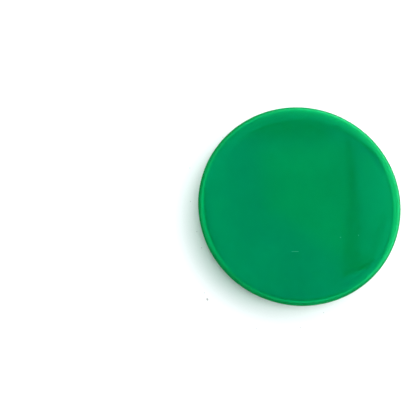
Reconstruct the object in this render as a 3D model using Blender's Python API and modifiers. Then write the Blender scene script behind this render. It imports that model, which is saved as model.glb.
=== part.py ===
"""Dealer button: a thick round plastic disc that passes round a card table.

The upper face is blank. The underside carries a shallow engraved mark, a border
ring with four suit pips, and each engraved pocket is filled with its own paint.
Units are metres, +Z is up, and the origin is the centre of the underside.
"""

import math

import bmesh
import bpy
from mathutils import Vector

MM = 0.001

# Disc
DISC_DIAMETER = 40.0 * MM
DISC_THICKNESS = 5.0 * MM
EDGE_RADIUS = 1.3 * MM                  # rounding between each face and the side wall
SHOULDER_WIDTH = 2.4 * MM               # soft roll-off between a flat face and its rounding
SHOULDER_TILT = math.radians(9.0)       # slope of the face where the rounding begins
HUB_RADIUS = 3.0 * MM                   # plain middle of the underside, inside the pips

# Engraved mark on the underside
POCKET_DEPTH = 0.40 * MM
FILL_RECESS = 0.05 * MM                 # the paint dries a little below the face
FILL_CLEARANCE = 0.03 * MM              # between the paint and its pocket, all round
RING_RADIUS = 14.2 * MM                 # middle of the ring's line
RING_LINE_WIDTH = 0.8 * MM
PIP_HEIGHT = 7.0 * MM
PIP_DISTANCE = 8.0 * MM                 # from the disc's centre to a pip's middle

# Pip outlines, in pip heights, with the pip's middle at (0, 0) and its top at +Y
HALF_HEIGHT = 0.5
HEART_LOBE = Vector((0.235, 0.215))
HEART_LOBE_RADIUS = 0.255
DIAMOND_HALF_WIDTH = 0.37
DIAMOND_SIDE_SAG = 0.035
CLUB_TOP_LOBE = Vector((0.0, 0.27))
CLUB_SIDE_LOBE = Vector((0.255, -0.07))
CLUB_LOBE_RADIUS = 0.23
STEM_NECK = 0.045
STEM_FOOT = 0.17
STEM_SAG = 0.05

# Fineness of the round shapes
TURN_STEPS = 96
EDGE_STEPS = 8
SHOULDER_STEPS = 5
ARC_STEPS = 20
MERGE_DISTANCE = 0.00001
SHARP_ANGLE = math.radians(30.0)

GREEN_PLASTIC = {"colour": (0.0, 0.27, 0.08, 1.0), "roughness": 0.12}
WHITE_PAINT = {"colour": (0.82, 0.81, 0.76, 1.0), "roughness": 0.35}


def clear_scene():
    for obj in list(bpy.data.objects):
        bpy.data.objects.remove(obj, do_unlink=True)


def new_collection(name):
    collection = bpy.data.collections.new(name)
    bpy.context.scene.collection.children.link(collection)
    return collection


def new_material(name, finish):
    material = bpy.data.materials.new(name)
    material.use_nodes = True
    shader = material.node_tree.nodes["Principled BSDF"]
    shader.inputs["Base Color"].default_value = finish["colour"]
    shader.inputs["Roughness"].default_value = finish["roughness"]
    shader.inputs["Metallic"].default_value = 0.0
    material.diffuse_color = finish["colour"]
    return material


def finish_shape(obj):
    """Replace the object's modifiers by their result and shade it, corners kept sharp."""
    depsgraph = bpy.context.evaluated_depsgraph_get()
    mesh = bpy.data.meshes.new_from_object(obj.evaluated_get(depsgraph))
    mesh.name = obj.name
    obj.modifiers.clear()
    obj.data = mesh
    mesh.shade_smooth()
    mesh.set_sharp_from_angle(angle=SHARP_ANGLE)


def make_cutter(obj):
    obj.hide_render = True
    obj.display_type = "WIRE"


# ---------------------------------------------------------------- turned shapes

def turned_object(name, profile, closed, collection):
    """Turn a profile of (radius, height) points round Z; it runs down its outer side."""
    edges = [(i, i + 1) for i in range(len(profile) - 1)]
    if closed:
        edges.append((len(profile) - 1, 0))
    mesh = bpy.data.meshes.new(name)
    mesh.from_pydata([(radius, 0.0, height) for radius, height in profile], edges, [])
    obj = bpy.data.objects.new(name, mesh)
    collection.objects.link(obj)
    screw = obj.modifiers.new("Turn", "SCREW")
    screw.axis = "Z"
    screw.angle = math.tau
    screw.steps = TURN_STEPS
    screw.render_steps = TURN_STEPS
    screw.use_merge_vertices = True
    screw.merge_threshold = MERGE_DISTANCE
    return obj


def upper_edge_profile():
    """From the end of the flat upper face to the top of the side wall.

    The normal leans outwards from 0 degrees on the face to 90 on the wall, first
    along the gentle shoulder and then round the tighter edge.
    """
    shoulder_radius = SHOULDER_WIDTH / math.sin(SHOULDER_TILT)
    shoulder_drop = shoulder_radius * (1.0 - math.cos(SHOULDER_TILT))
    shoulder_end = DISC_DIAMETER / 2 - EDGE_RADIUS * (1.0 - math.sin(SHOULDER_TILT))
    flat_end = shoulder_end - SHOULDER_WIDTH
    edge_height = DISC_THICKNESS - shoulder_drop - EDGE_RADIUS * math.cos(SHOULDER_TILT)

    points = []
    for step in range(SHOULDER_STEPS):
        lean = SHOULDER_TILT * step / SHOULDER_STEPS
        points.append((flat_end + shoulder_radius * math.sin(lean),
                       DISC_THICKNESS - shoulder_radius * (1.0 - math.cos(lean))))
    for step in range(EDGE_STEPS + 1):
        lean = SHOULDER_TILT + (math.pi / 2 - SHOULDER_TILT) * step / EDGE_STEPS
        points.append((DISC_DIAMETER / 2 - EDGE_RADIUS * (1.0 - math.sin(lean)),
                       edge_height + EDGE_RADIUS * math.cos(lean)))
    return points


def disc_profile():
    """The whole section, from the top centre down the outside to the bottom centre."""
    upper = upper_edge_profile()
    lower = [(radius, DISC_THICKNESS - height) for radius, height in reversed(upper)]
    return [(0.0, DISC_THICKNESS)] + upper + lower + [(HUB_RADIUS, 0.0), (0.0, 0.0)]


def ring_profile(inset, low, high):
    """A rectangular section on the border ring's line, narrowed by inset each side."""
    outer = RING_RADIUS + RING_LINE_WIDTH / 2 - inset
    inner = RING_RADIUS - RING_LINE_WIDTH / 2 + inset
    return [(outer, high), (outer, low), (inner, low), (inner, high)]


# ---------------------------------------------------------------- pip outlines

def arc(centre, radius, start, end):
    """Points on a circle from angle start to angle end, both included."""
    angles = [start + (end - start) * step / ARC_STEPS for step in range(ARC_STEPS + 1)]
    return [centre + radius * Vector((math.cos(a), math.sin(a))) for a in angles]


def angle_to(centre, point):
    return math.atan2(point.y - centre.y, point.x - centre.x)


def bowed_line(start, end, sag):
    """A shallow arc between two points that bows by sag to the left of its way."""
    along = end - start
    left = Vector((-along.y, along.x)).normalized()
    count = ARC_STEPS // 2
    points = []
    for step in range(count + 1):
        t = step / count
        points.append(start + along * t + left * sag * 4.0 * t * (1.0 - t))
    return points


def tangent_angle(centre, radius, tip):
    """Angle, seen from a lobe on the right, where the line from the tip touches it."""
    to_centre = centre - tip
    half = math.asin(radius / to_centre.length)
    swing = -half if tip.y < centre.y else half
    heading = math.atan2(to_centre.y, to_centre.x) + swing
    reach = math.sqrt(to_centre.length ** 2 - radius ** 2)
    touch = tip + reach * Vector((math.cos(heading), math.sin(heading)))
    return angle_to(centre, touch)


def both_halves(right_half):
    """Close an outline whose right half runs from the bottom to the top."""
    left_half = [Vector((-p.x, p.y)) for p in reversed(right_half) if p.x > MERGE_DISTANCE]
    return right_half + left_half


def stem_side(lobe, lobe_radius):
    """From the stem's foot up to where its neck runs into a lobe."""
    neck_height = lobe.y - math.sqrt(lobe_radius ** 2 - (lobe.x - STEM_NECK) ** 2)
    return bowed_line(Vector((STEM_FOOT, -HALF_HEIGHT)), Vector((STEM_NECK, neck_height)), STEM_SAG)


def heart_outline():
    tip = Vector((0.0, -HALF_HEIGHT))
    notch_angle = math.acos(-HEART_LOBE.x / HEART_LOBE_RADIUS)
    touch_angle = tangent_angle(HEART_LOBE, HEART_LOBE_RADIUS, tip)
    return both_halves([tip] + arc(HEART_LOBE, HEART_LOBE_RADIUS, touch_angle, notch_angle))


def spade_outline():
    """A heart stood on its lobes, on a stem."""
    tip = Vector((0.0, HALF_HEIGHT))
    lobe = Vector((HEART_LOBE.x, -0.5 * HEART_LOBE.y))
    stem = stem_side(lobe, HEART_LOBE_RADIUS)
    neck_angle = angle_to(lobe, stem[-1])
    touch_angle = tangent_angle(lobe, HEART_LOBE_RADIUS, tip)
    leaf = arc(lobe, HEART_LOBE_RADIUS, neck_angle, touch_angle)
    return both_halves(stem + leaf[1:] + [tip])


def diamond_outline():
    side = Vector((DIAMOND_HALF_WIDTH, 0.0))
    lower = bowed_line(Vector((0.0, -HALF_HEIGHT)), side, DIAMOND_SIDE_SAG)
    upper = bowed_line(side, Vector((0.0, HALF_HEIGHT)), DIAMOND_SIDE_SAG)
    return both_halves(lower + upper[1:])


def club_outline():
    """Two lobes beside a stem, and a third on top where they meet it."""
    stem = stem_side(CLUB_SIDE_LOBE, CLUB_LOBE_RADIUS)
    between = CLUB_TOP_LOBE - CLUB_SIDE_LOBE
    outwards = Vector((between.y, -between.x)).normalized()
    reach = math.sqrt(CLUB_LOBE_RADIUS ** 2 - (between.length / 2) ** 2)
    crotch = CLUB_SIDE_LOBE + between / 2 + outwards * reach
    side_lobe = arc(CLUB_SIDE_LOBE, CLUB_LOBE_RADIUS,
                    angle_to(CLUB_SIDE_LOBE, stem[-1]), angle_to(CLUB_SIDE_LOBE, crotch))
    top_lobe = arc(CLUB_TOP_LOBE, CLUB_LOBE_RADIUS,
                   angle_to(CLUB_TOP_LOBE, crotch), math.pi / 2)
    return both_halves(stem + side_lobe[1:] + top_lobe[1:])


# Each pip's top points away from the disc's centre
PIPS = {
    "heart": (heart_outline, 0.0),
    "spade": (spade_outline, math.pi / 2),
    "diamond": (diamond_outline, math.pi),
    "club": (club_outline, 3 * math.pi / 2),
}


def slab_object(name, outline, inset, low, high, collection):
    """A flat slab of a pip outline, narrowed by inset, between two heights."""
    curve = bpy.data.curves.new(name, "CURVE")
    curve.dimensions = "2D"
    curve.fill_mode = "BOTH"
    curve.extrude = (high - low) / 2
    curve.offset = -inset
    spline = curve.splines.new("POLY")
    spline.points.add(len(outline) - 1)
    for point, place in zip(spline.points, outline):
        point.co = (place.x * PIP_HEIGHT, place.y * PIP_HEIGHT, 0.0, 1.0)
    spline.use_cyclic_u = True

    guide = bpy.data.objects.new(name + "_outline", curve)
    collection.objects.link(guide)
    depsgraph = bpy.context.evaluated_depsgraph_get()
    mesh = bpy.data.meshes.new_from_object(guide.evaluated_get(depsgraph))
    bpy.data.objects.remove(guide, do_unlink=True)

    shape = bmesh.new()
    shape.from_mesh(mesh)
    bmesh.ops.remove_doubles(shape, verts=shape.verts, dist=MERGE_DISTANCE / 10)
    bmesh.ops.translate(shape, verts=shape.verts, vec=(0.0, 0.0, (low + high) / 2))
    shape.to_mesh(mesh)
    shape.free()

    obj = bpy.data.objects.new(name, mesh)
    collection.objects.link(obj)
    return obj


def place_pip(obj, bearing):
    obj.location = (PIP_DISTANCE * math.cos(bearing), PIP_DISTANCE * math.sin(bearing), 0.0)
    obj.rotation_euler = (0.0, 0.0, bearing - math.pi / 2)


# ---------------------------------------------------------------- sub-parts

def make_pocket_cutters(collection):
    """One cutter for each engraved pocket, reaching below the underside."""
    low, high = -POCKET_DEPTH, POCKET_DEPTH
    cutters = [turned_object("border_ring_cutter", ring_profile(0.0, low, high), True, collection)]
    for suit, (outline, bearing) in PIPS.items():
        cutter = slab_object(suit + "_cutter", outline(), 0.0, low, high, collection)
        place_pip(cutter, bearing)
        cutters.append(cutter)
    for cutter in cutters:
        make_cutter(cutter)


def make_disc(collection, cutters, material):
    """The moulded body, alike on both faces but for the engraved underside."""
    disc = turned_object("disc", disc_profile(), False, collection)
    engrave = disc.modifiers.new("Engrave", "BOOLEAN")
    engrave.operation = "DIFFERENCE"
    engrave.solver = "EXACT"
    engrave.operand_type = "COLLECTION"
    engrave.collection = cutters
    finish_shape(disc)
    disc.data.materials.append(material)
    return disc


def make_fills(collection, disc, material):
    """The paint that fills each pocket, a piece of its own in each."""
    low = FILL_RECESS
    high = POCKET_DEPTH - FILL_CLEARANCE
    profile = ring_profile(FILL_CLEARANCE, low, high)
    fills = [turned_object("border_ring_fill", profile, True, collection)]
    for suit, (outline, bearing) in PIPS.items():
        fill = slab_object(suit + "_fill", outline(), FILL_CLEARANCE, low, high, collection)
        place_pip(fill, bearing)
        fills.append(fill)
    for fill in fills:
        finish_shape(fill)
        fill.data.materials.append(material)
        fill.parent = disc


def main():
    clear_scene()
    collection = new_collection("dealer_button")
    cutters = new_collection("cutters")
    green = new_material("green_plastic", GREEN_PLASTIC)
    white = new_material("white_filling_paint", WHITE_PAINT)
    make_pocket_cutters(cutters)
    disc = make_disc(collection, cutters, green)
    make_fills(collection, disc, white)


main()
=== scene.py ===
"""The looks of the dealer button: a glossy green disc lying on white paper.

The disc is turned again here at a finer grain than the CAD solid, with softened
lips round its engraved pockets, and each pocket's paint gets its dried surface.
Units are metres, +Z is up, and the origin is the centre of the underside.
"""

import math

import bmesh
import bpy
from mathutils import Matrix, Vector


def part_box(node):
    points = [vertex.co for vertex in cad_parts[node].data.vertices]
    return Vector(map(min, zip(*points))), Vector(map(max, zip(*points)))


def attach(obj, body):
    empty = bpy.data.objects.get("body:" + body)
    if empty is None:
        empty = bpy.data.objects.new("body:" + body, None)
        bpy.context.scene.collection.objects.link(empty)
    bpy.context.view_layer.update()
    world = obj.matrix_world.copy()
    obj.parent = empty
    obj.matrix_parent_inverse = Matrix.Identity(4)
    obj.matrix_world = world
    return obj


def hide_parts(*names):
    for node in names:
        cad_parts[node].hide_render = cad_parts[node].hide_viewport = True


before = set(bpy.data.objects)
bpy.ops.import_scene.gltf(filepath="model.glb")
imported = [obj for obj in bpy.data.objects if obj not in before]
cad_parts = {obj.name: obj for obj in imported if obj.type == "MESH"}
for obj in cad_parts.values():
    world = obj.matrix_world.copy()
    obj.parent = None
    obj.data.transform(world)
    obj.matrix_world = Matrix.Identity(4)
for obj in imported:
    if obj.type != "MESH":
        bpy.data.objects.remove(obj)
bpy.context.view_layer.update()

MM = 0.001
MICRON = 0.000001

# ---------------------------------------------------------------- sizes, from the frame

DISC_LOW, DISC_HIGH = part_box("disc")
RADIUS = (DISC_HIGH.x - DISC_LOW.x) / 2
THICKNESS = DISC_HIGH.z - DISC_LOW.z
RING_LOW, RING_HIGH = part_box("border_ring_fill")
PAINT_LEVEL = RING_LOW.z                # the paint's face, a little above the underside
PAINT_FLOOR = RING_HIGH.z               # where the paint meets the bottom of its pocket

# The CAD disc's section, which the fine disc repeats
EDGE_RADIUS = 1.3 * MM
SHOULDER_WIDTH = 2.4 * MM
SHOULDER_TILT = math.radians(9.0)
RING_RADIUS = 14.2 * MM
RING_LINE_WIDTH = 0.8 * MM
POCKET_DEPTH = 0.40 * MM
PAINT_CLEARANCE = 0.03 * MM

LIP_RADIUS = 0.07 * MM                  # softened mouth of an engraved pocket
MENISCUS_WIDTH = 0.12 * MM              # where the paint climbs its pocket's wall
MENISCUS_RISE = 0.03 * MM

# Extra rings of points: one just inside the rim of the upper face, and two on the
# underside, inside the ring of paint
FACE_RING_INSET = 0.3 * MM
UNDERSIDE_RINGS = (12.5 * MM, 3.0 * MM)

TURN_STEPS = 288
EDGE_STEPS = 20
SHOULDER_STEPS = 12
LIP_STEPS = 4
MERGE_DISTANCE = MICRON
SHARP_ANGLE = math.radians(32.0)
LEVEL_NORMAL = 0.999999                 # a level face's normal is at least this upright
SHARPEST_MITRE = 0.5                    # stops a narrow corner from running far out
FLOOR_HALF = 3.0
PIPS = ("spade", "heart", "diamond", "club")


# ---------------------------------------------------------------- mesh helpers

def link(obj):
    bpy.context.scene.collection.objects.link(obj)
    return obj


def baked(obj):
    """The object with its modifiers applied."""
    depsgraph = bpy.context.evaluated_depsgraph_get()
    mesh = bpy.data.meshes.new_from_object(obj.evaluated_get(depsgraph))
    mesh.name = obj.name
    obj.modifiers.clear()
    obj.data = mesh
    return obj


def turned(name, profile, closed):
    """Turn a profile of (radius, height) points round Z; it runs down its outer side."""
    edges = [(i, i + 1) for i in range(len(profile) - 1)]
    if closed:
        edges.append((len(profile) - 1, 0))
    mesh = bpy.data.meshes.new(name)
    mesh.from_pydata([(radius, 0.0, height) for radius, height in profile], edges, [])
    obj = link(bpy.data.objects.new(name, mesh))
    screw = obj.modifiers.new("Turn", "SCREW")
    screw.steps = TURN_STEPS
    screw.render_steps = TURN_STEPS
    screw.use_merge_vertices = True
    screw.merge_threshold = MERGE_DISTANCE
    return baked(obj)


def offset_outline(outline, distance):
    """An outline moved outwards by distance, with mitred corners."""
    moved = []
    for before, point, after in zip(outline[-1:] + outline[:-1], outline, outline[1:] + outline[:1]):
        first = (point - before).normalized()
        second = (after - point).normalized()
        first_out = Vector((first.y, -first.x))
        second_out = Vector((second.y, -second.x))
        mitre = (first_out + second_out).normalized()
        moved.append(point + mitre * distance / max(mitre.dot(first_out), SHARPEST_MITRE))
    return moved


def lofted(name, outline, levels):
    """A closed solid through copies of an outline, each at an (offset, height)."""
    shape = bmesh.new()
    loops = []
    for offset, height in levels:
        points = offset_outline(outline, offset)
        loops.append([shape.verts.new((p.x, p.y, height)) for p in points])
    count = len(outline)
    for lower, upper in zip(loops, loops[1:]):
        for i in range(count):
            j = (i + 1) % count
            shape.faces.new((lower[i], lower[j], upper[j], upper[i]))
    shape.faces.new(list(reversed(loops[0])))
    shape.faces.new(loops[-1])
    mesh = bpy.data.meshes.new(name)
    bmesh.ops.recalc_face_normals(shape, faces=shape.faces)
    shape.to_mesh(mesh)
    shape.free()
    return link(bpy.data.objects.new(name, mesh))


def outline_of(node):
    """The outline of a CAD fill's lower face, anticlockwise from above."""
    shape = bmesh.new()
    shape.from_mesh(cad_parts[node].data)
    bmesh.ops.remove_doubles(shape, verts=shape.verts, dist=MERGE_DISTANCE)
    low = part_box(node)[0].z

    def is_low(face):
        return all(abs(v.co.z - low) < MERGE_DISTANCE for v in face.verts)

    rim = [e for e in shape.edges if sum(is_low(f) for f in e.link_faces) == 1]
    neighbours = {}
    for edge in rim:
        first, second = edge.verts
        neighbours.setdefault(first, []).append(second)
        neighbours.setdefault(second, []).append(first)
    start = rim[0].verts[0]
    ring = [start, neighbours[start][0]]
    while True:
        following = [v for v in neighbours[ring[-1]] if v is not ring[-2]][0]
        if following is start:
            break
        ring.append(following)
    points = [v.co.to_2d() for v in ring]
    shape.free()
    area = sum(p.cross(q) for p, q in zip(points, points[1:] + points[:1]))
    return points if area > 0 else points[::-1]


def shade(obj):
    """Smooth shading, with corners and the rims of flat faces kept sharp."""
    mesh = obj.data
    mesh.shade_smooth()
    shape = bmesh.new()
    shape.from_mesh(mesh)
    for edge in shape.edges:
        if len(edge.link_faces) != 2:
            continue
        flats = [abs(f.normal.z) > LEVEL_NORMAL for f in edge.link_faces]
        corner = edge.calc_face_angle(0.0) > SHARP_ANGLE
        edge.smooth = not (corner or flats[0] != flats[1])
    shape.to_mesh(mesh)
    shape.free()


# ---------------------------------------------------------------- shader helpers

class Graph:
    """A short way to write a node tree."""

    def __init__(self, tree):
        self.tree = tree

    def add(self, kind, settings=(), **inputs):
        node = self.tree.nodes.new(kind)
        for name, value in dict(settings).items():
            setattr(node, name, value)
        for name, value in inputs.items():
            self.put(node, name.replace("_", " "), value)
        return node

    def put(self, node, name, value):
        socket = node.inputs[name]
        if isinstance(value, bpy.types.NodeSocket):
            self.tree.links.new(value, socket)
        else:
            socket.default_value = value

    def math(self, operation, *values):
        node = self.add("ShaderNodeMath", {"operation": operation})
        for index, value in enumerate(values):
            self.put(node, index, value)
        return node.outputs[0]

    def vector(self, operation, *values):
        node = self.add("ShaderNodeVectorMath", {"operation": operation})
        for index, value in enumerate(values):
            self.put(node, index, value)
        return node.outputs["Value" if operation in ("DOT_PRODUCT", "LENGTH") else "Vector"]

    def step(self, value, start, end, low=0.0, high=1.0):
        """Smoothly from low to high as value goes from start to end."""
        node = self.add("ShaderNodeMapRange", {"interpolation_type": "SMOOTHSTEP"})
        for index, number in enumerate((value, start, end, low, high)):
            self.put(node, index, number)
        return node.outputs["Result"]

    def mix(self, factor, first, second):
        node = self.add("ShaderNodeMix", {"data_type": "RGBA"})
        self.put(node, 0, factor)
        self.put(node, 6, first)
        self.put(node, 7, second)
        return node.outputs[2]


def new_material(name):
    """A material, its graph and its shader."""
    material = bpy.data.materials.new(name)
    material.use_nodes = True
    graph = Graph(material.node_tree)
    shader = material.node_tree.nodes["Principled BSDF"]
    return material, graph, shader


def object_millimetres(graph):
    """The place on the object, in millimetres from its origin."""
    place = graph.add("ShaderNodeTexCoord").outputs["Object"]
    scaled = graph.add("ShaderNodeVectorMath", {"operation": "SCALE"})
    graph.put(scaled, 0, place)
    graph.put(scaled, "Scale", 1.0 / MM)
    return scaled.outputs[0]


def soft_box(graph, across, up, box, softness):
    """The mask of a soft-edged rectangle: its middle, half length, half width and turn."""
    middle, half_length, half_width, angle = box
    x = graph.math("SUBTRACT", across, middle[0])
    y = graph.math("SUBTRACT", up, middle[1])
    cosine, sine = math.cos(angle), math.sin(angle)
    along = graph.math("ADD", graph.math("MULTIPLY", x, cosine), graph.math("MULTIPLY", y, sine))
    aside = graph.math("SUBTRACT", graph.math("MULTIPLY", y, cosine), graph.math("MULTIPLY", x, sine))
    masks = []
    for distance, half in ((along, half_length), (aside, half_width)):
        size = graph.math("ABSOLUTE", distance)
        masks.append(graph.step(size, half - softness, half + softness, 1.0, 0.0))
    return graph.math("MULTIPLY", *masks)


# ---------------------------------------------------------------- materials

# Handling marks on the blank face: a middle in millimetres, half length, half width and turn
FACE_MARKS = (
    ((-2.10, -9.60), 0.70, 0.07, math.radians(-4.7)),
    ((6.90, -7.60), 0.13, 0.12, 0.0),
    ((10.40, -7.50), 0.10, 0.14, 0.0),
)
SCRATCH_BEARINGS = (math.radians(18.0), math.radians(74.0), math.radians(131.0))
HAIRLINE_STRETCH = (0.11, 4.0, 1.0)     # long one way and fine the other
MARK_SOFTNESS = 0.06
MARKED_HEIGHTS = (4.0, 4.9)             # the marks come in between these heights in millimetres
RIM_WEAR_AND_LIGHT_REACH = (17.8, 19.6)               # and the rubbing, with its painted rim light, between these distances from the middle

# The one larger speck on the paper, in the same form
PAPER_FLECK = ((-19.70, -17.40), 0.16, 0.22, math.radians(20.0))
FLECK_SOFTNESS = 0.10


def hairlines(graph, place, bearing):
    """Fine, long, broken scratches that all run one way."""
    along = graph.add("ShaderNodeVectorRotate", {"rotation_type": "Z_AXIS"}, Vector=place, Angle=bearing)
    drawn_out = graph.vector("MULTIPLY", along.outputs["Vector"], HAIRLINE_STRETCH)
    streaks = graph.add("ShaderNodeTexNoise", Vector=drawn_out, Scale=1.0, Detail=1.0)
    return graph.step(streaks.outputs["Fac"], 0.69, 0.76)


def face_marks(graph, place):
    """The short scratch and the two specks on the blank face."""
    parts = graph.add("ShaderNodeSeparateXYZ", Vector=place)
    across, up = parts.outputs["X"], parts.outputs["Y"]
    upper_side = graph.step(parts.outputs["Z"], *MARKED_HEIGHTS)
    spots = [soft_box(graph, across, up, box, MARK_SOFTNESS) for box in FACE_MARKS]
    strongest = graph.math("MAXIMUM", spots[0], graph.math("MAXIMUM", spots[1], spots[2]))
    return graph.math("MULTIPLY", upper_side, strongest)


def edge_wear_and_rim_light(graph, place):
    """Patchy rubbing round the rounded edge, whose lighter colour there is partly painted light on the rim.
    """
    reach = graph.vector("LENGTH", graph.vector("MULTIPLY", place, (1.0, 1.0, 0.0)))
    band = graph.step(reach, *RIM_WEAR_AND_LIGHT_REACH)
    patches = graph.add("ShaderNodeTexNoise", Vector=place, Scale=1.1, Detail=5.0)
    return graph.math("MULTIPLY", band, graph.step(patches.outputs["Fac"], 0.48, 0.68))


def green_plastic():
    """Opaque glossy green plastic, handled but hardly worn."""
    material, graph, shader = new_material("green_plastic")
    place = object_millimetres(graph)

    cloud = graph.add("ShaderNodeTexNoise", Vector=place, Scale=0.09, Detail=3.0)
    deep = (0.0, 0.184, 0.049, 1.0)
    light = (0.0, 0.199, 0.054, 1.0)
    lit_rubbed_rim = (0.0, 0.220, 0.075, 1.0)
    scuffed = (0.030, 0.260, 0.110, 1.0)
    colour = graph.mix(graph.step(cloud.outputs["Fac"], 0.35, 0.65), deep, light)
    wear_and_rim_light = edge_wear_and_rim_light(graph, place)
    # The rim's colour is made lighter: partly rubbing, partly painted light that brightens the rim
    colour = graph.mix(graph.math("MULTIPLY", wear_and_rim_light, 0.5), colour, lit_rubbed_rim)
    marks = face_marks(graph, place)
    colour = graph.mix(marks, colour, scuffed)
    graph.put(shader, "Base Color", colour)

    scratches = hairlines(graph, place, SCRATCH_BEARINGS[0])
    for bearing in SCRATCH_BEARINGS[1:]:
        scratches = graph.math("MAXIMUM", scratches, hairlines(graph, place, bearing))
    # A patchy polish, which rubbing, hairlines and marks each make rougher
    swirl = graph.add("ShaderNodeTexNoise", Vector=place, Scale=0.35, Detail=4.0)
    roughness = graph.step(swirl.outputs["Fac"], 0.3, 0.7, 0.05, 0.08)
    roughness = graph.math("MULTIPLY_ADD", wear_and_rim_light, 0.06, roughness)
    roughness = graph.math("MULTIPLY_ADD", scratches, 0.12, roughness)
    roughness = graph.math("MULTIPLY_ADD", marks, 0.25, roughness)
    graph.put(shader, "Roughness", roughness)

    # The moulded face is not quite flat, and the hairlines are cut into it
    peel = graph.add("ShaderNodeTexNoise", Vector=place, Scale=0.22, Detail=1.0)
    height = graph.math("MULTIPLY_ADD", scratches, -0.20, peel.outputs["Fac"])
    bump = graph.add("ShaderNodeBump", Strength=1.0, Distance=6 * MICRON)
    graph.put(bump, "Height", height)
    graph.put(shader, "Normal", bump.outputs["Normal"])

    shader.inputs["IOR"].default_value = 1.49
    # Reflections seen from straight above are green and turn pale at a shallow angle. Real
    # plastic's are white: white here gives a plain plastic under other lights.
    shader.inputs["Specular Tint"].default_value = (0.0, 1.0, 0.45, 1.0)
    shader.inputs["Subsurface Weight"].default_value = 1.0
    shader.inputs["Subsurface Radius"].default_value = (0.2, 1.0, 0.6)
    shader.inputs["Subsurface Scale"].default_value = 4.0 * MM
    return material


def filling_paint():
    """Satin off-white paint, dried in an engraved pocket."""
    material, graph, shader = new_material("filling_paint")
    place = object_millimetres(graph)
    cloud = graph.add("ShaderNodeTexNoise", Vector=place, Scale=0.8, Detail=5.0)
    fresh = (0.84, 0.83, 0.78, 1.0)
    aged = (0.74, 0.72, 0.64, 1.0)
    graph.put(shader, "Base Color", graph.mix(graph.step(cloud.outputs["Fac"], 0.4, 0.8), fresh, aged))
    grain = graph.add("ShaderNodeTexNoise", Vector=place, Scale=9.0, Detail=6.0)
    graph.put(shader, "Roughness", graph.step(grain.outputs["Fac"], 0.3, 0.7, 0.32, 0.48))
    bump = graph.add("ShaderNodeBump", Strength=1.0, Distance=4 * MICRON)
    graph.put(bump, "Height", grain.outputs["Fac"])
    graph.put(shader, "Normal", bump.outputs["Normal"])
    return material


def white_paper():
    """Fibrous white paper with a little dust, which the plastic mirrors as a dim green."""
    material, graph, shader = new_material("white_paper")
    place = object_millimetres(graph)
    fibre = graph.add("ShaderNodeTexNoise", Vector=place, Scale=3.0, Detail=6.0)
    dark = (0.84, 0.845, 0.85, 1.0)
    bright = (0.88, 0.885, 0.89, 1.0)
    speck = (0.36, 0.35, 0.34, 1.0)
    dust_grey = (0.40, 0.40, 0.41, 1.0)
    colour = graph.mix(fibre.outputs["Fac"], dark, bright)
    parts = graph.add("ShaderNodeSeparateXYZ", Vector=place)
    fleck = soft_box(graph, parts.outputs["X"], parts.outputs["Y"], PAPER_FLECK, FLECK_SOFTNESS)
    colour = graph.mix(fleck, colour, speck)
    dust = graph.add("ShaderNodeTexVoronoi", {"voronoi_dimensions": "2D"}, Vector=place, Scale=0.16)
    grains = graph.step(dust.outputs["Distance"], 0.012, 0.026, 0.5, 0.0)
    colour = graph.mix(grains, colour, dust_grey)
    glossy = graph.add("ShaderNodeLightPath").outputs["Is Glossy Ray"]
    graph.put(shader, "Base Color", graph.mix(glossy, colour, MIRRORED_PAPER))
    bump = graph.add("ShaderNodeBump", Strength=0.4, Distance=10 * MICRON)
    graph.put(bump, "Height", fibre.outputs["Fac"])
    graph.put(shader, "Normal", bump.outputs["Normal"])
    shader.inputs["Roughness"].default_value = 0.9
    shader.inputs["Specular IOR Level"].default_value = 0.2
    return material


# ---------------------------------------------------------------- the object

def upper_edge_profile():
    """From the end of the flat upper face to the top of the side wall."""
    shoulder_radius = SHOULDER_WIDTH / math.sin(SHOULDER_TILT)
    shoulder_drop = shoulder_radius * (1.0 - math.cos(SHOULDER_TILT))
    flat_end = RADIUS - EDGE_RADIUS * (1.0 - math.sin(SHOULDER_TILT)) - SHOULDER_WIDTH
    edge_height = THICKNESS - shoulder_drop - EDGE_RADIUS * math.cos(SHOULDER_TILT)
    points = []
    for step in range(SHOULDER_STEPS):
        lean = SHOULDER_TILT * step / SHOULDER_STEPS
        points.append((flat_end + shoulder_radius * math.sin(lean),
                       THICKNESS - shoulder_radius * (1.0 - math.cos(lean))))
    for step in range(EDGE_STEPS + 1):
        lean = SHOULDER_TILT + (math.pi / 2 - SHOULDER_TILT) * step / EDGE_STEPS
        points.append((RADIUS - EDGE_RADIUS * (1.0 - math.sin(lean)),
                       edge_height + EDGE_RADIUS * math.cos(lean)))
    return points


def groove_profile():
    """The ring's groove in the underside, from its outer lip to its inner one."""
    outer = RING_RADIUS + RING_LINE_WIDTH / 2
    inner = RING_RADIUS - RING_LINE_WIDTH / 2
    turns = [math.pi / 2 * step / LIP_STEPS for step in range(LIP_STEPS + 1)]
    down = [(outer + LIP_RADIUS * (1.0 - math.sin(t)), LIP_RADIUS * (1.0 - math.cos(t))) for t in turns]
    up = [(2 * RING_RADIUS - radius, height) for radius, height in reversed(down)]
    return down + [(outer, POCKET_DEPTH), (inner, POCKET_DEPTH)] + up


def pocket_cutter(node):
    """The pocket round a pip's paint, flared at its mouth into a soft lip."""
    turns = [math.pi / 2 * step / LIP_STEPS for step in range(LIP_STEPS + 1)]
    levels = [(PAINT_CLEARANCE + LIP_RADIUS, -POCKET_DEPTH)]
    for t in turns:
        levels.append((PAINT_CLEARANCE + LIP_RADIUS * (1.0 - math.sin(t)), LIP_RADIUS * (1.0 - math.cos(t))))
    levels.append((PAINT_CLEARANCE, POCKET_DEPTH))
    return lofted(node + "_pocket", outline_of(node), levels)


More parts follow.
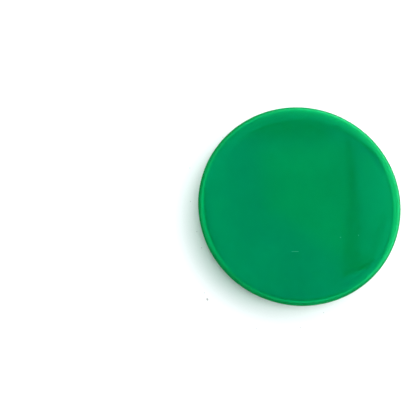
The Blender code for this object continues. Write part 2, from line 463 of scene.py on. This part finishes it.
def make_disc(material):
    """The disc, turned in one piece and then engraved with the four pips."""
    upper = upper_edge_profile()
    lower = [(radius, THICKNESS - height) for radius, height in reversed(upper)]
    flat_end = upper[0][0]
    profile = [(0.0, THICKNESS), (flat_end - FACE_RING_INSET, THICKNESS)]
    profile += upper + lower + groove_profile()
    profile += [(radius, 0.0) for radius in UNDERSIDE_RINGS] + [(0.0, 0.0)]
    disc = turned("disc_body", profile, closed=False)
    for suit in PIPS:
        cutter = pocket_cutter(suit + "_fill")
        engrave = disc.modifiers.new("Engrave", "BOOLEAN")
        engrave.operation = "DIFFERENCE"
        engrave.solver = "EXACT"
        engrave.object = cutter
        baked(disc)
        bpy.data.objects.remove(cutter, do_unlink=True)
    shade(disc)
    disc.data.materials.clear()
    disc.data.materials.append(material)
    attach(disc, "root")
    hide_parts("disc")


def paint_section():
    """(inset, height) from the pocket's wall to the paint's level face."""
    points = []
    for step in range(LIP_STEPS + 1):
        t = step / LIP_STEPS
        points.append((MENISCUS_WIDTH * t, PAINT_LEVEL + MENISCUS_RISE * (2 * t - t * t - 1.0)))
    return points


def make_ring_paint(material):
    """The paint in the ring's groove."""
    outer = RING_HIGH.x
    inner = 2 * RING_RADIUS - outer
    section = paint_section()
    profile = [(outer, PAINT_FLOOR)] + [(outer - inset, height) for inset, height in section]
    profile += [(inner + inset, height) for inset, height in reversed(section)] + [(inner, PAINT_FLOOR)]
    finish_paint(turned("border_ring_paint", profile, closed=True), material, "border_ring_fill")


def make_pip_paint(suit, material):
    """The paint in one pip's pocket."""
    node = suit + "_fill"
    levels = [(0.0, PAINT_FLOOR)] + [(-inset, height) for inset, height in paint_section()]
    finish_paint(lofted(suit + "_paint", outline_of(node), levels), material, node)


def finish_paint(obj, material, node):
    """Shade a fill, give it its paint and put it in its frame node's place."""
    shade(obj)
    obj.data.materials.clear()
    obj.data.materials.append(material)
    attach(obj, "root")
    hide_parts(node)


# ---------------------------------------------------------------- the studio

def make_floor():
    """The sheet of paper that everything lies on."""
    shape = bmesh.new()
    bmesh.ops.create_grid(shape, x_segments=8, y_segments=8, size=FLOOR_HALF)
    mesh = bpy.data.meshes.new("paper_floor")
    shape.to_mesh(mesh)
    shape.free()
    floor = link(bpy.data.objects.new("paper_floor", mesh))
    mesh.materials.append(white_paper())


def heights(*leans):
    """The heights of unit directions that lean this many degrees from the vertical."""
    return tuple(math.cos(math.radians(lean)) for lean in leans)


# The room that lights the disc, by compass bearing (+X is 0 degrees, +Y is 90) and by
# height. An edge is the pair of heights that a change takes place between, and a reach
# the pair of cosines of the angle from a bearing.
WINDOW_BEARING = math.radians(20.0)
CORNER_BEARING = math.radians(222.0)
WINDOW_REACH = (0.60, 0.97)
CORNER_REACH = (-1.00, 0.10)
SKYLINE_EDGE = heights(84.0, 76.0)
HORIZON_EDGE = heights(82.0, 66.0)
UPPER_EDGE = heights(50.0, 28.0)
ROOM = {
    "wall": (3.05, 3.00, 3.10, 1.0),
    "horizon": (1.30, 1.65, 1.55, 1.0),
    "corner": (0.08, 0.10, 0.09, 1.0),
    "window": (5.00, 4.30, 4.70, 1.0),
    "upper": (0.38, 0.47, 0.42, 1.0),
    "skyline": (2.60, 2.80, 2.70, 1.0),
}
# The ceiling light is a soft box, in slopes away from the vertical
CEILING = ((0.235, 0.030), 0.530, 0.420, 0.0)
CEILING_SOFTNESS = 0.03
CEILING_LIGHT = (2.45, 2.80, 2.80, 1.0)

# The room that the plastic mirrors, which is not the one that lights it
MIRRORED_WINDOW_REACH = (0.30, 0.85)
MIRRORED_CORNER_REACH = (0.55, 0.90)
MIRRORED_HORIZON_EDGE = heights(74.0, 56.0)
MIRRORED_ROOM = {
    "wall": (1.70, 5.20, 3.50, 1.0),
    "horizon": (0.30, 0.60, 0.50, 1.0),
    "corner": (1.00, 3.40, 2.10, 1.0),
    "window": (1.50, 6.50, 4.20, 1.0),
    "upper": (0.50, 1.35, 1.90, 1.0),
    "skyline": (0.30, 0.60, 0.50, 1.0),
}
MIRRORED_PAPER = (0.03, 0.30, 0.10, 1.0)
BACKDROP = (0.90, 0.90, 0.91, 1.0)      # seen past the edge of the paper

# The parts of the mirrored ceiling, each laid over those before it: a middle, half length,
# half width, turn in degrees, the softness of its edge and its light. Places are slopes away
# from the vertical.
CEILING_PARTS = (
    ((-5.600, 0.000), 4.400, 1.000, 0.0, 0.300, (1.50, 4.60, 3.10, 1.0)),    # far left
    ((1.180, 0.100), 0.460, 0.900, 0.0, 0.060, (2.00, 5.80, 3.80, 1.0)),     # bright right side
    ((-0.900, 0.100), 0.560, 0.500, 0.0, 0.060, (1.70, 5.20, 3.50, 1.0)),    # bright left side
    ((0.188, -0.040), 0.515, 0.460, 0.0, 0.040, (0.04, 0.10, 0.11, 1.0)),    # dark surround
    ((0.198, 0.005), 0.463, 0.365, 0.0, 0.020, (0.35, 0.75, 2.20, 1.0)),     # the ceiling itself
    ((0.248, 0.150), 0.107, 0.160, 0.0, 0.030, (0.60, 1.50, 1.40, 1.0)),     # its middle
    ((0.199, 0.031), 0.110, 0.060, -41.6, 0.025, (0.35, 0.75, 2.20, 1.0)),   # cuts a corner off that
    ((-0.090, 0.060), 0.150, 0.300, 0.0, 0.080, (0.60, 1.60, 2.60, 1.0)),    # its left end
    ((-0.130, 0.400), 0.180, 0.110, 20.0, 0.080, (0.70, 1.95, 3.00, 1.0)),   # glow at the upper left
    ((0.600, -0.340), 0.150, 0.130, -45.0, 0.060, (0.70, 2.20, 2.70, 1.0)),  # glow at the lower right
    ((0.507, 0.080), 0.143, 0.200, 0.0, 0.030, (0.80, 2.20, 2.70, 1.0)),     # light panel
    ((0.410, 0.000), 0.060, 0.100, 0.0, 0.040, (0.60, 1.30, 1.70, 1.0)),     # the panel's dim end
    ((0.353, 0.224), 0.086, 0.011, 87.0, 0.004, (0.02, 0.05, 0.08, 1.0)),    # dark bar, upper half
    ((0.330, 0.060), 0.091, 0.015, 77.5, 0.004, (0.02, 0.05, 0.08, 1.0)),    # dark bar, lower half
    ((0.215, 0.350), 0.100, 0.026, -8.0, 0.020, (0.03, 0.15, 0.25, 1.0)),    # dark arc at the top
    ((0.418, -0.060), 0.115, 0.030, -35.0, 0.012, (0.02, 0.05, 0.08, 1.0)),  # the bar's foot
)
LOWEST_HEIGHT = 0.1                     # keeps slopes finite near the horizon


def towards(graph, level_direction, bearing, start, end):
    """A soft mask of the directions round a compass bearing."""
    axis = (math.cos(bearing), math.sin(bearing), 0.0)
    return graph.step(graph.vector("DOT_PRODUCT", level_direction, axis), start, end)


def make_room():
    """One room lights the disc, another is mirrored in it, and the camera sees a plain backdrop."""
    world = bpy.data.worlds.new("room")
    bpy.context.scene.world = world
    world.use_nodes = True
    graph = Graph(world.node_tree)
    direction = graph.add("ShaderNodeTexCoord").outputs["Generated"]
    parts = graph.add("ShaderNodeSeparateXYZ", Vector=direction)
    height = parts.outputs["Z"]
    above = graph.math("MAXIMUM", height, LOWEST_HEIGHT)
    across = graph.math("DIVIDE", parts.outputs["X"], above)
    up = graph.math("DIVIDE", parts.outputs["Y"], above)
    level = graph.vector("NORMALIZE", graph.vector("MULTIPLY", direction, (1.0, 1.0, 0.0)))
    high = graph.step(height, *UPPER_EDGE)
    skyline = graph.step(height, *SKYLINE_EDGE, 1.0, 0.0)

    def room_light(colours, horizon_edge, corner_reach, window_reach):
        """The wall, with each other part of the room laid over those before it."""
        low = graph.step(height, *horizon_edge, 1.0, 0.0)
        corner = towards(graph, level, CORNER_BEARING, *corner_reach)
        window = towards(graph, level, WINDOW_BEARING, *window_reach)
        light = graph.mix(low, colours["wall"], colours["horizon"])
        light = graph.mix(corner, light, colours["corner"])
        light = graph.mix(skyline, light, colours["skyline"])
        light = graph.mix(window, light, colours["window"])
        return graph.mix(high, light, colours["upper"])

    light = room_light(ROOM, HORIZON_EDGE, CORNER_REACH, WINDOW_REACH)
    mirrored = room_light(
        MIRRORED_ROOM, MIRRORED_HORIZON_EDGE, MIRRORED_CORNER_REACH, MIRRORED_WINDOW_REACH
    )
    for middle, half_length, half_width, turn, softness, colour in CEILING_PARTS:
        box = (middle, half_length, half_width, math.radians(turn))
        mirrored = graph.mix(soft_box(graph, across, up, box, softness), mirrored, colour)
    ceiling = soft_box(graph, across, up, CEILING, CEILING_SOFTNESS)
    light = graph.mix(ceiling, light, CEILING_LIGHT)

    path = graph.add("ShaderNodeLightPath")
    colour = graph.mix(path.outputs["Is Glossy Ray"], light, mirrored)
    colour = graph.mix(path.outputs["Is Camera Ray"], colour, BACKDROP)
    background = world.node_tree.nodes["Background"]
    graph.put(background, "Color", colour)
    background.inputs["Strength"].default_value = 1.0


def make_camera():
    """Looking down beside the disc, which lies right of the picture's middle."""
    distance = 87.80 * MM
    tilt = math.radians(9.57)
    roll = math.radians(-4.74)
    aim = Vector((-18.05, 1.09, 0.0)) * MM
    right = Vector((1.0, 0.0, 0.0))
    up = Vector((0.0, math.cos(tilt), math.sin(tilt)))
    forward = Vector((0.0, math.sin(tilt), -math.cos(tilt)))
    rolled_right = right * math.cos(roll) + up * math.sin(roll)
    rolled_up = up * math.cos(roll) - right * math.sin(roll)
    data = bpy.data.cameras.new("camera")
    data.sensor_width = 36.0
    data.lens = 36.60577
    data.clip_start = 1 * MM
    data.clip_end = 20.0
    camera = link(bpy.data.objects.new("camera", data))
    turn = Matrix((rolled_right, rolled_up, -forward)).transposed().to_4x4()
    camera.matrix_world = Matrix.Translation(aim - forward * distance) @ turn
    bpy.context.scene.camera = camera


def main():
    scene = bpy.context.scene
    scene.view_settings.view_transform = "Standard"
    scene.view_settings.look = "None"
    green = green_plastic()
    paint = filling_paint()
    make_disc(green)
    make_ring_paint(paint)
    for suit in PIPS:
        make_pip_paint(suit, paint)
    make_floor()
    make_room()
    make_camera()


main()
